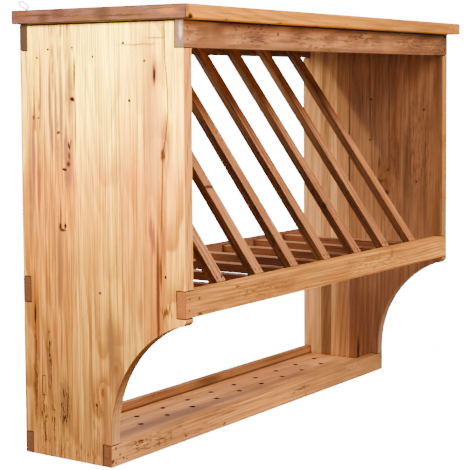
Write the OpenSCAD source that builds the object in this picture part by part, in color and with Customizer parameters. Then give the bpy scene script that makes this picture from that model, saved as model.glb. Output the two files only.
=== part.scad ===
// Wall plate rack in waxed pine: two shaped side panels, a top board, six let-in rails,
// sloping plate bars standing on floor slats, and a perforated drain tray.
// X runs along the wall from left to right, -Y is the front, Z is up.
// The origin is on the wall plane, at the middle of the top back rail.

/* [Carcass] */
// Width over the outer faces of the side panels
carcass_w = 950; // [700:5:1200]
// Height from the underside to the top of the side panels
carcass_h = 752; // [680:2:900]
// Depth of the upper part, from the wall to the front edge
upper_d = 356; // [300:2:420]
// Depth of the lower part, below the scoop
lower_d = 197; // [160:1:230]
// Thickness of a side panel
side_t = 22; // [18:1:28]

/* [Top board] */
// Thickness of the top board
top_t = 24; // [18:1:32]
// How far the top board stands out past each side panel
top_side_over = 21; // [10:1:35]
// How far the top board stands out past the front
top_front_over = 21; // [10:1:35]
// Radius of the top board's eased edges
top_edge_r = 3; // [1:0.5:6]

/* [Rails] */
// Thickness of every rail, front to back
rail_t = 18; // [14:1:24]
// Height of the top and middle rails
rail_h = 45; // [36:1:60]
// Height of the two bottom rails
bottom_rail_h = 38; // [32:1:48]
// Height of the middle rails' upper edge above the underside
middle_top = 314; // [280:1:360]
// Play between a rail and its notch in the side panel
notch_gap = 0.2; // [0.1:0.1:0.5]

/* [Side panel shape] */
// How far the rounded nose hangs below the middle front rail
nose_drop = 14; // [8:1:20]
// Radius of the nose's lower corner
nose_r = 12; // [6:1:16]
// Flat left under the nose before the scoop begins
nose_flat = 3; // [1:1:8]
// Straight front edge between the bottom rail and the scoop
scoop_foot = 15; // [5:1:40]

/* [Plate bars and slats] */
// How many sloping bars part the plates
bar_count = 7; // [5:1:9]
// Width of a bar and of a slat, along the wall
strip_w = 26; // [20:1:32]
// Thickness of a bar and of a slat
strip_t = 16; // [12:1:20]
// How far the slats lie below the middle rails' upper edge
slat_drop = 5; // [2:1:10]
// Depth of the pocket that holds a slat's end in a rail
pocket_d = 5; // [3:1:8]
// Play round a slat's end in its pocket
pocket_gap = 0.2; // [0.1:0.1:0.5]

/* [Drain tray] */
// Thickness of the tray board
tray_t = 22; // [14:1:26]
// Diameter of a drain hole
drain_d = 9; // [6:0.5:14]
// Distance between the drain holes of one row
drain_pitch = 80; // [60:1:110]
// Holes in the back row; the front row has one less, half a pitch along
drain_count = 11; // [7:1:13]
// Distance of the back row from the wall
drain_back_y = 61; // [45:1:80]
// Distance of the front row from the wall
drain_front_y = 103; // [85:1:130]

/* [Nails] */
// Diameter of a nail's shank
nail_d = 2.4; // [1.8:0.1:3]
// Diameter of a nail's head
nail_head_d = 3.6; // [3.2:0.1:5]
// Height of a nail's head
nail_head_h = 1.6; // [1:0.1:2.5]
// Play round a nail in its hole
nail_gap = 0.05; // [0.02:0.01:0.1]
// Distance between the two nails in the end of a top or middle rail
rail_nail_apart = 19; // [12:1:26]
// Distance between the two nails in the end of a bottom rail
bottom_nail_apart = 23; // [12:1:24]
// Length of the nails in the rails' ends and along the tray
rail_nail_l = 45; // [30:1:60]
// Distance between the two nails in the end of a bar
bar_nail_apart = 13; // [8:1:14]
// Wood left beyond the tips of a bar's nails
bar_nail_cover = 2; // [1:0.5:5]
// Distance of a bar's nails behind the middle front rail
foot_nail_y = 6; // [4:0.5:8]
// Distance of a bar's upper nails below the top board
head_nail_z = 14; // [10:1:18]
// Nails along each edge of the tray
tray_nail_count = 4; // [3:1:6]
// Distance of the outer tray nails from the side panels' outer faces
tray_nail_side = 40; // [32:1:60]
// Height of the tray nails above the underside
tray_nail_z = 8; // [7:0.5:11]
// Length of the nails that hold the top board
top_nail_l = 50; // [40:1:50]
// Distance of the top board's outer nails beyond the tips of the rails' nails
top_nail_clear = 12; // [5:1:30]

/* [Hanger eyes] */
// Diameter of the eye's wire
eye_wire = 2.2; // [1.6:0.1:3]
// How much thicker the eye's shank is than its wire
eye_shank_more = 0.6; // [0.4:0.1:1.5]
// Diameter of the eye, measured to the middle of the wire
eye_d = 18.8; // [14:0.2:24]
// How far the eye leans back towards the wall, in degrees
eye_lean = 45; // [0:5:45]
// Clear neck of the eye above the top board
eye_neck = 3; // [1:0.5:6]
// Depth of the eye's shank in the top board
eye_shank_l = 16; // [8:1:17]
// Distance of the shank from the wall plane
eye_y = 15; // [15:1:25]
// Distance of the shank inwards from a side panel's outer face
eye_side = 3; // [0:1:11]

/* [Hidden] */
$fn = 64;
through = 2; // how far a cut runs past a face
half_w = carcass_w / 2;
inner_half_w = half_w - side_t;
underside_z = rail_h / 2 - carcass_h;
nose_z = middle_top - rail_h - nose_drop;
foot_z = bottom_rail_h + scoop_foot;
scoop_run = upper_d - nose_r - nose_flat - lower_d;
scoop_rise = nose_z - foot_z;
scoop_r = (pow(scoop_run, 2) + pow(scoop_rise, 2)) / (2 * scoop_run);
slat_top = middle_top - slat_drop;
slat_back_y = pocket_d - rail_t;
slat_front_y = rail_t - pocket_d - upper_d;
bar_foot_y = rail_t - upper_d;
bar_slope = atan2(carcass_h - middle_top, upper_d - 2 * rail_t);
bar_gap = (2 * inner_half_w - bar_count * strip_w) / (bar_count + 1);
bar_pitch = bar_gap + strip_w;
rail_nail_x = half_w - side_t / 2;
tray_nail_pitch = 2 * (half_w - tray_nail_side) / (tray_nail_count - 1);
top_nail_inset = rail_nail_l + top_nail_clear;
top_nail_y = [top_nail_inset, upper_d / 2, upper_d - top_nail_inset];
foot_nail_back = bar_foot_y + foot_nail_y;
foot_nail_top = middle_top + (foot_nail_y - nail_head_d / 2) * tan(bar_slope);
foot_nail_l = foot_nail_top - slat_top + strip_t - bar_nail_cover;
head_nail_y = -rail_t - (head_nail_z - nail_head_d / 2) / tan(bar_slope);
head_nail_l = -head_nail_y - bar_nail_cover;
nail_way = nail_head_d * tan(bar_slope) + through; // free way cut above a nail's head
eye_shank_d = eye_wire + eye_shank_more;

function bar_x(i) = -inner_half_w + i * bar_pitch - strip_w / 2;

BARS = [for (i = [1:bar_count]) str("plate_bar_", i)];
SLATS = [for (i = [1:bar_count]) str("floor_slat_", i)];

// ---- placing ----

// heights below are measured from the underside of the rack
module from_underside() {
    translate([0, 0, underside_z]) children();
}

// what is drawn for the right-hand side (1), mirrored for the left-hand side (-1)
module on_side(side) {
    mirror([side < 0 ? 1 : 0, 0, 0]) children();
}

// an outline drawn as (depth, height), given a thickness along X
module across(x, thick) {
    translate([x, 0, 0]) rotate([90, 0, 90]) linear_extrude(thick) children();
}

// ---- nails ----

// a nail with its head flush at the origin, pointing down
module nail(length) {
    translate([0, 0, -length]) cylinder(d = nail_d, h = length - nail_head_h / 2);
    translate([0, 0, -nail_head_h]) cylinder(d = nail_head_d, h = nail_head_h);
}

module nail_hole(length) {
    translate([0, 0, -length - nail_gap]) cylinder(d = nail_d + 2 * nail_gap, h = length);
    translate([0, 0, -nail_head_h - nail_gap])
        cylinder(d = nail_head_d + 2 * nail_gap, h = nail_head_h + nail_way);
}

// places of the two nails in each end of a front or back rail
module at_rail_ends(depth, mid_z, apart, from_front) {
    for (x = [-rail_nail_x, rail_nail_x], half = [-1, 1])
        translate([x, from_front ? -depth : 0, mid_z + half * apart / 2])
            rotate([from_front ? 90 : -90, 0, 0]) children();
}

module at_all_rail_ends() {
    for (front = [true, false]) {
        at_rail_ends(upper_d, carcass_h - rail_h / 2, rail_nail_apart, front) children();
        at_rail_ends(upper_d, middle_top - rail_h / 2, rail_nail_apart, front) children();
        at_rail_ends(lower_d, bottom_rail_h / 2, bottom_nail_apart, front) children();
    }
}

module at_bar_feet(i) {
    for (half = [-1, 1])
        translate([bar_x(i) + half * bar_nail_apart / 2, foot_nail_back, foot_nail_top])
            children();
}

module at_bar_heads(i) {
    for (half = [-1, 1])
        translate([bar_x(i) + half * bar_nail_apart / 2, head_nail_y, carcass_h - head_nail_z])
            rotate([90, 0, 0]) children();
}

module at_tray_edges() {
    for (k = [0:tray_nail_count - 1], front = [true, false])
        translate([tray_nail_side - half_w + k * tray_nail_pitch, front ? -lower_d : 0, tray_nail_z])
            rotate([front ? 90 : -90, 0, 0]) children();
}

module at_top_nails() {
    for (x = [-rail_nail_x, rail_nail_x], y = top_nail_y)
        translate([x, -y, carcass_h + top_t]) children();
    // two in each top rail, midway between bars
    for (side = [-1, 1], y = [rail_t / 2, upper_d - rail_t / 2])
        translate([side * (bar_x(2) + bar_pitch / 2), -y, carcass_h + top_t]) children();
}

// ---- hanger eyes ----

// the origin of what is placed lies on the top board, in the middle of the shank
module at_eye(side) {
    on_side(side) translate([half_w - eye_side, -eye_y, carcass_h + top_t]) children();
}

module hanger_eye() {
    translate([0, 0, -eye_shank_l]) cylinder(d = eye_shank_d, h = eye_shank_l + eye_neck);
    translate([0, 0, eye_neck]) rotate([-eye_lean, 0, 0])
        translate([0, 0, eye_d / 2]) rotate([90, 0, 0])
            rotate_extrude() translate([eye_d / 2, 0]) circle(d = eye_wire);
}

// ---- side panels ----

module side_outline() {
    difference() {
        translate([-upper_d, 0]) square([upper_d, carcass_h]);
        // everything in front of the lower part, below the nose
        translate([-upper_d - through, -through])
            square([upper_d - lower_d + through, foot_z + through]);
        intersection() {
            translate([-upper_d - through, foot_z - through])
                square([upper_d - lower_d + through, scoop_rise + through]);
            translate([-lower_d - scoop_r, foot_z]) circle(scoop_r, $fn = 180);
        }
        // the nose's rounded corner
        difference() {
            translate([-upper_d - through, nose_z - through])
                square([nose_r + through, nose_r + through]);
            translate([-upper_d + nose_r, nose_z + nose_r]) circle(nose_r);
        }
    }
}

// notch for one rail, open at the panel's front or back edge
module rail_notch(depth, base_z, height, at_front) {
    y = at_front ? -depth - through : -rail_t - notch_gap;
    translate([y, base_z - notch_gap])
        square([rail_t + notch_gap + through, height + 2 * notch_gap]);
}

module side_profile() {
    difference() {
        side_outline();
        for (front = [true, false]) {
            rail_notch(upper_d, carcass_h - rail_h, rail_h, front);
            rail_notch(upper_d, middle_top - rail_h, rail_h, front);
            rail_notch(lower_d, 0, bottom_rail_h, front);
        }
    }
}

module side_panel(side) {
    color("burlywood") from_underside() difference() {
        on_side(side) across(inner_half_w, side_t) side_profile();
        at_all_rail_ends() nail_hole(rail_nail_l);
        at_top_nails() nail_hole(top_nail_l);
    }
}

// ---- top board ----

// a board with every edge rounded
module eased_board(size, r) {
    inset = [r, r, r];
    core = size - 2 * inset;
    translate([r, r, 0]) cube([core[0], core[1], size[2]]);
    translate([r, 0, r]) cube([core[0], size[1], core[2]]);
    translate([0, r, r]) cube([size[0], core[1], core[2]]);
    for (x = [r, size[0] - r], y = [r, size[1] - r]) {
        translate([x, y, r]) cylinder(r = r, h = core[2]);
        for (z = [r, size[2] - r]) translate([x, y, z]) sphere(r);
    }
    for (x = [r, size[0] - r], z = [r, size[2] - r])
        translate([x, r, z]) rotate([-90, 0, 0]) cylinder(r = r, h = core[1]);
    for (y = [r, size[1] - r], z = [r, size[2] - r])
        translate([r, y, z]) rotate([0, 90, 0]) cylinder(r = r, h = core[0]);
}

module top_board() {
    board_w = carcass_w + 2 * top_side_over;
    board_d = upper_d + top_front_over;
    color("peru") from_underside() difference() {
        translate([-board_w / 2, -board_d, carcass_h])
            eased_board([board_w, board_d, top_t], top_edge_r);
        at_top_nails() nail_hole(top_nail_l);
        for (side = [-1, 1]) at_eye(side) translate([0, 0, -eye_shank_l - nail_gap])
            cylinder(d = eye_shank_d + 2 * nail_gap, h = eye_shank_l + through);
    }
}

// ---- rails ----

module rail(front_y, base_z, height) {
    translate([-half_w, front_y, base_z]) cube([carcass_w, rail_t, height]);
}

// pockets in the middle rails, which hold the slats' ends
module slat_pockets() {
    for (i = [1:bar_count])
        translate([bar_x(i) - strip_w / 2 - pocket_gap, slat_front_y - pocket_gap,
                   slat_top - strip_t - pocket_gap])
            cube([strip_w, slat_back_y - slat_front_y, strip_t] + 2 * pocket_gap * [1, 1, 1]);
}

module top_front_rail() {
    color("peru") from_underside() difference() {
        rail(-upper_d, carcass_h - rail_h, rail_h);
        at_all_rail_ends() nail_hole(rail_nail_l);
        at_top_nails() nail_hole(top_nail_l);
    }
}

module top_back_rail() {
    color("sienna") from_underside() difference() {
        rail(-rail_t, carcass_h - rail_h, rail_h);
        at_all_rail_ends() nail_hole(rail_nail_l);
        at_top_nails() nail_hole(top_nail_l);
        for (i = [1:bar_count]) at_bar_heads(i) nail_hole(head_nail_l);
    }
}

module middle_front_rail() {
    color("peru") from_underside() difference() {
        rail(-upper_d, middle_top - rail_h, rail_h);
        at_all_rail_ends() nail_hole(rail_nail_l);
        slat_pockets();
    }
}

module middle_back_rail() {
    color("sienna") from_underside() difference() {
        rail(-rail_t, middle_top - rail_h, rail_h);
        at_all_rail_ends() nail_hole(rail_nail_l);
        slat_pockets();
    }
}

module bottom_rail(front_y) {
    color("peru") from_underside() difference() {
        rail(front_y, 0, bottom_rail_h);
        at_all_rail_ends() nail_hole(rail_nail_l);
        at_tray_edges() nail_hole(rail_nail_l);
    }
}

// ---- plate bars and floor slats ----

// side view of a bar: foot on the slat against the rail, head on the top back rail
module bar_profile() {
    back_foot_y = bar_foot_y + strip_t / sin(bar_slope) - slat_drop / tan(bar_slope);
    head_low_z = carcass_h - strip_t / cos(bar_slope);
    polygon([
        [bar_foot_y, middle_top],
        [bar_foot_y, slat_top],
        [back_foot_y, slat_top],
        [-rail_t, head_low_z],
        [-rail_t, carcass_h]]);
}

module plate_bar(i) {
    color("tan") from_underside() difference() {
        across(bar_x(i) - strip_w / 2, strip_w) bar_profile();
        at_bar_feet(i) nail_hole(foot_nail_l);
        at_bar_heads(i) nail_hole(head_nail_l);
    }
}

module floor_slat(i) {
    color("rosybrown") from_underside() difference() {
        translate([bar_x(i) - strip_w / 2, slat_front_y, slat_top - strip_t])
            cube([strip_w, slat_back_y - slat_front_y, strip_t]);
        at_bar_feet(i) nail_hole(foot_nail_l);
    }
}

// ---- drain tray ----

module drain_row(count, y) {
    for (k = [0:count - 1])
        translate([(k - (count - 1) / 2) * drain_pitch, -y, -through])
            cylinder(d = drain_d, h = tray_t + 2 * through);
}

module drain_tray() {
    color("rosybrown") from_underside() difference() {
        translate([-inner_half_w, rail_t - lower_d, 0])
            cube([2 * inner_half_w, lower_d - 2 * rail_t, tray_t]);
        drain_row(drain_count, drain_back_y);
        drain_row(drain_count - 1, drain_front_y);
        at_tray_edges() nail_hole(rail_nail_l);
    }
}

// ---- fasteners ----

module rail_nails() {
    color("dimgray") from_underside() at_all_rail_ends() nail(rail_nail_l);
}

module bar_nails() {
    color("dimgray") from_underside() for (i = [1:bar_count]) {
        at_bar_feet(i) nail(foot_nail_l);
        at_bar_heads(i) nail(head_nail_l);
    }
}

module tray_nails() {
    color("dimgray") from_underside() at_tray_edges() nail(rail_nail_l);
}

module top_board_nails() {
    color("dimgray") from_underside() at_top_nails() nail(top_nail_l);
}

module placed_eye(side) {
    color("silver") from_underside() at_eye(side) hanger_eye();
}

side_panel(-1);  // left_side_panel
side_panel(1);  // right_side_panel
top_board();
top_front_rail();
top_back_rail();
middle_front_rail();
middle_back_rail();
bottom_rail(-lower_d);  // bottom_front_rail
bottom_rail(-rail_t);  // bottom_back_rail
drain_tray();
for (i = [1:bar_count]) {
    plate_bar(i);
    floor_slat(i);
}
rail_nails();
bar_nails();
tray_nails();
top_board_nails();
placed_eye(-1);  // left_hanger_eye
placed_eye(1);  // right_hanger_eye
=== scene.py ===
import math

import bmesh
import bpy
from mathutils import Matrix, Vector, noise
from mathutils.bvhtree import BVHTree


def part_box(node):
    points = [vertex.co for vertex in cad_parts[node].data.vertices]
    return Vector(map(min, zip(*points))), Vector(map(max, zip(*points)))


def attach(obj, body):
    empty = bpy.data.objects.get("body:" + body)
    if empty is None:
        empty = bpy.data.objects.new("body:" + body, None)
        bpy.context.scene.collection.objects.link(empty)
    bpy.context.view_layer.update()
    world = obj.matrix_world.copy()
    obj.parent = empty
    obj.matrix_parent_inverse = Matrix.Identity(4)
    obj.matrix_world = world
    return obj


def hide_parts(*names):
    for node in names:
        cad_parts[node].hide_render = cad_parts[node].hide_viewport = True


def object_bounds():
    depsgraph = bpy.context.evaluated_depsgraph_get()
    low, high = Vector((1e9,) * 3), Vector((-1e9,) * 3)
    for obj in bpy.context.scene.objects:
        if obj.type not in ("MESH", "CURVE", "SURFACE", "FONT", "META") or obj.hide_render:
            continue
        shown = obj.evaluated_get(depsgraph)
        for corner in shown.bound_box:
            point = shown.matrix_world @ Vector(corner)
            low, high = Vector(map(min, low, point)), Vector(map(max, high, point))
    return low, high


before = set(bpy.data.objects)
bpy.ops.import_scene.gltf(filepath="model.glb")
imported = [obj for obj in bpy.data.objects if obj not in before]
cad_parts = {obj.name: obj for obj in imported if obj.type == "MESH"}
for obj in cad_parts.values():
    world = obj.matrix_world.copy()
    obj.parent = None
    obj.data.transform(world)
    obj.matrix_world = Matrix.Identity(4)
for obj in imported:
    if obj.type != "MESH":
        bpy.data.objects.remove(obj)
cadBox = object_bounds()
print("frame loaded:", len(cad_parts), "nodes")

mm = 0.001
barSlope = math.radians(53.86)  # of the plate bars, from the floor up

# Camera and light

cameraLook = {
    "azimuth": -56.41, "elevation": 3.81, "roll": -0.25,  # degrees
    "target": (0.049, -0.165, -0.2595), "distance": 2.717,
    "lens": 103.94, "sensor": 36, "shift": (-0.0664, -0.1323), "farthest": 50,
}


def addObject(name, data):
    thing = bpy.data.objects.new(name, data)
    bpy.context.scene.collection.objects.link(thing)
    return thing


def aimCamera(look):
    az, el, roll = (math.radians(look[k]) for k in ("azimuth", "elevation", "roll"))
    back = Vector((math.sin(az) * math.cos(el), -math.cos(az) * math.cos(el), math.sin(el)))
    right = (-back).cross(Vector((0, 0, 1))).normalized()
    up = back.cross(right)
    turn = Matrix((right * math.cos(roll) + up * math.sin(roll),
                   up * math.cos(roll) - right * math.sin(roll), back)).transposed()
    eye = addObject("camera", bpy.data.cameras.new("camera"))
    place = Vector(look["target"]) + back * look["distance"]
    eye.matrix_world = Matrix.Translation(place) @ turn.to_4x4()
    eye.data.sensor_width = look["sensor"]
    eye.data.lens = look["lens"]
    eye.data.shift_x, eye.data.shift_y = look["shift"]
    eye.data.clip_end = look["farthest"]
    bpy.context.scene.camera = eye


lightLook = {
    "key": {"at": (-1, -0.26, 0.06), "aim": (-0.47, -0.22, -0.15), "size": 0.4, "watts": 36,
            "tint": (1, 0.82, 0.17)},
    "front": {"at": (0.2, -2.1, 1.2), "aim": (0, -0.3, -0.3), "size": 1.5, "watts": 165,
              "tint": (1, 0.9, 0.7)},
    "side": {"at": (-2.2, 0.35, 0.3), "aim": (0.4, -0.1, -0.2), "size": 0.8, "watts": 80,
             "tint": (1, 0.76, 0.32)},
    "back": {"at": (1.2, 2.6, 1), "aim": (0, 0, -0.3), "size": 1.6, "watts": 60,
             "tint": (1, 0.85, 0.65)},
}


def hangLight(name, look):
    lamp = addObject(name, bpy.data.lights.new(name, "AREA"))
    lamp.location = look["at"]
    aim = Vector(look["aim"]) - Vector(look["at"])
    lamp.rotation_euler = aim.to_track_quat("-Z", "Y").to_euler()
    lamp.data.shape = "DISK"
    lamp.data.size = look["size"]
    lamp.data.energy = look["watts"]
    lamp.data.color = look["tint"]


roomLook = {
    "sky": (1, 1, 1.15, 1), "skyStrength": 0.18,
    "backdrop": (1, 1, 1, 1), "backdropStrength": 16,
    "floorSize": 40, "floorDrop": 0.9, "floorColour": (0.9, 0.88, 0.85, 1), "floorRough": 0.9,
}


def seenAs(tree, lit, seen, output):
    # the camera sees one shader, and everything else the other
    path = tree.nodes.new("ShaderNodeLightPath")
    both = tree.nodes.new("ShaderNodeMixShader")
    tree.links.new(path.outputs["Is Camera Ray"], both.inputs[0])
    tree.links.new(lit, both.inputs[1])
    tree.links.new(seen, both.inputs[2])
    tree.links.new(both.outputs[0], tree.nodes[output].inputs["Surface"])


def makeRoom(look):
    # the camera sees a pure white room, which lights the piece only softly
    world = bpy.data.worlds.new("studio")
    world.use_nodes = True
    bpy.context.scene.world = world
    tree = world.node_tree
    sky = tree.nodes["Background"]
    sky.inputs["Color"].default_value = look["sky"]
    sky.inputs["Strength"].default_value = look["skyStrength"]
    drop = tree.nodes.new("ShaderNodeBackground")
    drop.inputs["Color"].default_value = look["backdrop"]
    drop.inputs["Strength"].default_value = look["backdropStrength"]
    seenAs(tree, sky.outputs[0], drop.outputs[0], "World Output")

    shape = bmesh.new()
    bmesh.ops.create_grid(shape, x_segments=1, y_segments=1, size=look["floorSize"] / 2)
    bmesh.ops.translate(shape, verts=shape.verts, vec=(0, 0, cadBox[0][2] - look["floorDrop"]))
    floor = finishMesh(shape, "studioFloor")
    paint = newMaterial("floorPaint")
    paint.bsdf.inputs["Base Color"].default_value = look["floorColour"]
    paint.bsdf.inputs["Roughness"].default_value = look["floorRough"]
    glow = paint.add("ShaderNodeEmission", {"Color": look["backdrop"],
                                            "Strength": look["backdropStrength"]})
    seenAs(paint.tree, paint.bsdf.outputs[0], glow, "Material Output")
    floor.data.materials.append(paint.material)


def finishMesh(shape, name):
    mesh = bpy.data.meshes.new(name)
    shape.to_mesh(mesh)
    shape.free()
    return addObject(name, mesh)


# Materials

class newMaterial:
    # a node tree with short calls for its nodes
    def __init__(self, name):
        self.material = bpy.data.materials.new(name)
        self.material.use_nodes = True
        self.tree = self.material.node_tree
        self.bsdf = self.tree.nodes["Principled BSDF"]

    def add(self, kind, sockets=(), out=0, **settings):
        node = self.tree.nodes.new(kind)
        for key, value in settings.items():
            setattr(node, key, value)
        for key, value in dict(sockets).items():
            if isinstance(value, bpy.types.NodeSocket):
                self.tree.links.new(value, node.inputs[key])
            else:
                node.inputs[key].default_value = value
        return node.outputs[out]

    def calc(self, operation, a, b=0.0, c=0.0):
        return self.add("ShaderNodeMath", {0: a, 1: b, 2: c}, operation=operation)

    def times(self, a, b, plus=None):
        if plus is None:
            return self.calc("MULTIPLY", a, b)
        return self.calc("MULTIPLY_ADD", a, b, plus)

    def away(self, a, b):
        # how far two numbers lie apart
        return self.calc("ABSOLUTE", self.calc("SUBTRACT", a, b))

    def vector(self, operation, a, b=(0, 0, 0), out=0):
        return self.add("ShaderNodeVectorMath", {0: a, 1: b}, out=out, operation=operation)

    def scaled(self, vector, factor):
        return self.add("ShaderNodeVectorMath", {0: vector, "Scale": factor}, operation="SCALE")

    def part(self, vector, axis):
        # one coordinate of a vector: 0 for X, 1 for Y, 2 for Z
        return self.add("ShaderNodeSeparateXYZ", {"Vector": vector}, out=axis)

    def layer(self, name):
        # a number that each face of the mesh carries
        return self.add("ShaderNodeAttribute", attribute_name=name, out=2)

    def noise(self, vector, scale, detail=2, rough=0.5, stretch=(1, 1, 1), out=0):
        placed = self.add("ShaderNodeMapping", {"Vector": vector, "Scale": stretch})
        return self.add("ShaderNodeTexNoise", {"Vector": placed, "Scale": scale, "Detail": detail,
                                               "Roughness": rough}, out=out)

    def step(self, value, low, high, soft=True):
        return self.add("ShaderNodeMapRange", {"Value": value, "From Min": low, "From Max": high},
                        interpolation_type="SMOOTHSTEP" if soft else "LINEAR", clamp=True)

    def pattern(self, vector, scale, low, high, detail=2, rough=0.5, along=1, stretch=None):
        # noise, stretched along the grain, that counts from low up and in full from high
        spread = self.noise(vector, scale, detail, rough, stretch or (along, 1, 1))
        return self.step(spread, low, high)

    def mix(self, share, a, b, kind="MIX"):
        return self.add("ShaderNodeMix", {0: share, 6: a, 7: b}, out=2, data_type="RGBA",
                        blend_type=kind)

    def lay(self, under, mask, share, over):
        # one colour over another, as far as the mask and the share say
        return self.mix(self.times(mask, share), under, over)

    def ramp(self, value, stops, kind="LINEAR"):
        node = self.tree.nodes.new("ShaderNodeValToRGB")
        node.color_ramp.interpolation = kind
        while len(node.color_ramp.elements) < len(stops):
            node.color_ramp.elements.new(0.5)
        for element, (place, colour) in zip(node.color_ramp.elements, stops):
            element.position = place
            element.color = colour
        self.tree.links.new(value, node.inputs[0])
        return node.outputs[0]

    def link(self, value, socket):
        self.tree.links.new(value, self.bsdf.inputs[socket])


def shade(*levels):
    # a colour as a screen shows it, from 0 to 255, in linear light
    return tuple(((c / 255 + 0.055) / 1.055) ** 2.4 if c > 10 else c / 3295 for c in levels) + (1,)


def tint(red, green=None, blue=None):
    # a share of each colour that stays, to multiply with
    return (red, red if green is None else green, red if blue is None else blue, 1)


# How far each tone of the grain lies from the board's own colour
grainTones = {
    "light": (1.3, 1.34, 1.3), "mid": (0.86, 0.82, 0.86), "warm": (0.9, 0.74, 0.66),
    "thread": (0.5, 0.44, 0.46), "dark": (0.42, 0.34, 0.36), "fibre": (0.5, 0.42, 0.44),
    "fleck": (0.12, 0.08, 0.08),
}
# The same on a board in strong light, where only deep tones still show
strongTones = {
    "light": (1.1, 1.24, 1), "mid": (0.88, 0.82, 0.9), "warm": (0.7, 0.56, 0.6),
    "thread": (0.22, 0.15, 0.36), "dark": (0.2, 0.14, 0.3), "fibre": (0.26, 0.19, 0.45),
    "fleck": (0.05, 0.04, 0.1),
}
markColours = {
    "ink": (18, 10, 9), "bark": (62, 37, 28), "rust": (122, 72, 40),
    # (150, 128, 186) is the colour of a painted highlight
    "mauve": (112, 78, 72), "paintedHighlight": (150, 128, 186), "honey": (222, 146, 62),
    "straw": (143, 99, 49),
}
# The same marks on the left panel's outer face: above litFrom, in strong yellow light,
litColours = {
    "ink": (16, 8, 34), "bark": (54, 31, 52), "rust": (98, 56, 60),
    "amber": (160, 110, 66), "smoke": (86, 58, 72),
}
# and below it, in weaker light
dimColours = {
    "ink": (12, 7, 13), "bark": (48, 28, 34), "rust": (102, 58, 48),
    "smoke": (88, 60, 58),
}
litFrom = -0.34
# Turns that bring the direction of the grain onto X, and the direction itself
grainTurns = {
    "along": (0, 0, 0), "upright": (0, math.pi / 2, 0), "deep": (0, 0, -math.pi / 2),
    "sloping": (-barSlope, 0, -math.pi / 2),
}
grainAxes = {
    "along": Vector((1, 0, 0)), "upright": Vector((0, 0, 1)), "deep": Vector((0, 1, 0)),
    "sloping": Vector((0, math.cos(barSlope), math.sin(barSlope))),
}


def tone(base, far, contrast):
    # a tone of the grain: the base, moved as far as the tone lies from it
    kept = (min(0.95, c * max(0.03, 1 + (k - 1) * contrast)) for c, k in zip(base, far))
    return (*kept, 1)


def spot(at, size, colour, share, kind="spot", soft=0.6, colours=markColours):
    return {"at": at, "size": size, "colour": shade(*colours[colour]), "share": share,
            "kind": kind, "soft": soft}


# A streak runs with the grain, a speckle is a broken streak, a band has straight edges
usualSoftness = {"streak": 0.6, "speckle": 0.6, "spot": 0.35, "band": 0.3}


def marksOn(axis, place, groups, depth=6, lit=False):
    # marks on the face that crosses an axis, 0 for X to 2 for Z, at this place
    # a row holds two coordinates and two half sizes in millimetres, the share that the mark
    # covers and, where it's unusual, its softness
    marks = []
    for kind, colour, rows in groups:
        for u, v, halfU, halfV, share, *own in rows:
            at, size = [u * mm, v * mm], [halfU * mm, halfV * mm]
            at.insert(axis, place)
            size.insert(axis, depth * mm)
            colours = markColours
            if lit:
                colours = litColours if at[2] > litFrom else dimColours
            soft = own[0] if own else usualSoftness[kind]
            marks.append(spot(at, size, colour, share, kind, soft, colours))
    return marks


def markMask(paint, spaces, mark):
    # 1 inside the mark and 0 outside it, with a soft edge
    space = spaces[{"band": "plain", "spot": "unsteady"}.get(mark["kind"], "feathered")]
    offset = paint.vector("DIVIDE", paint.vector("SUBTRACT", space, mark["at"]), mark["size"])
    if mark["kind"] == "band":
        offset = paint.vector("ABSOLUTE", offset)
        far = paint.calc("MAXIMUM", paint.part(offset, 1), paint.part(offset, 2))
        far = paint.calc("MAXIMUM", paint.part(offset, 0), far)
    else:
        far = paint.vector("LENGTH", offset, out=1)
    mask = paint.step(far, 1 + mark["soft"], 1 - mark["soft"])
    if mark["kind"] == "speckle":
        mask = paint.times(mask, spaces["speckles"])
    return mask


def layMarks(paint, spaces, colour, marks):
    for mark in marks:
        colour = paint.lay(colour, markMask(paint, spaces, mark), mark["share"], mark["colour"])
    return colour


def crackMask(paint, spaces, crack):
    # a thin line through the points (height, depth) of the path, on one face of a panel
    heights, depths = zip(*crack["path"])
    low, high, near, far = min(heights), max(heights), min(depths), max(depths)
    node = paint.tree.nodes.new("ShaderNodeFloatCurve")
    points = node.mapping.curves[0].points
    while len(points) < len(crack["path"]):
        points.new(0.5, 0.5)
    for point, (height, depth) in zip(points, sorted(crack["path"])):
        point.location = ((height - low) / (high - low), (depth - near) / (far - near))
    node.mapping.update()
    height = paint.part(spaces["plain"], 2)
    paint.tree.links.new(paint.step(height, low, high, soft=False), node.inputs["Value"])
    line = paint.times(node.outputs[0], far - near, near)
    mask = paint.step(paint.away(paint.part(spaces["fine"], 1), line), crack["width"], crack["core"])
    inside = paint.times(paint.step(height, low, low + crack["fadeBelow"]),
                         paint.step(height, high, high - crack["fadeAbove"]))
    face = paint.step(paint.away(paint.part(spaces["plain"], 0), crack["face"]), 8 * mm, 4 * mm)
    return paint.times(mask, paint.times(inside, face))


# How far the marks' outlines wander, and how much one stave's grain differs from the next
spaceLook = {
    "wobble": {"scale": 90, "detail": 3, "rough": 0.6}, "unsteady": 6 * mm, "fine": 2 * mm,
    "pull": {"scale": 260, "rough": 0.6, "stretch": (0.02, 1, 1)},
    "speckles": {"scale": 330, "rough": 0.7, "along": 0.16, "low": 0.5, "high": 0.6},
    "staveShift": (0.61, 0.037, 0.013),
}
half = (0.5, 0.5, 0.5)


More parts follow.
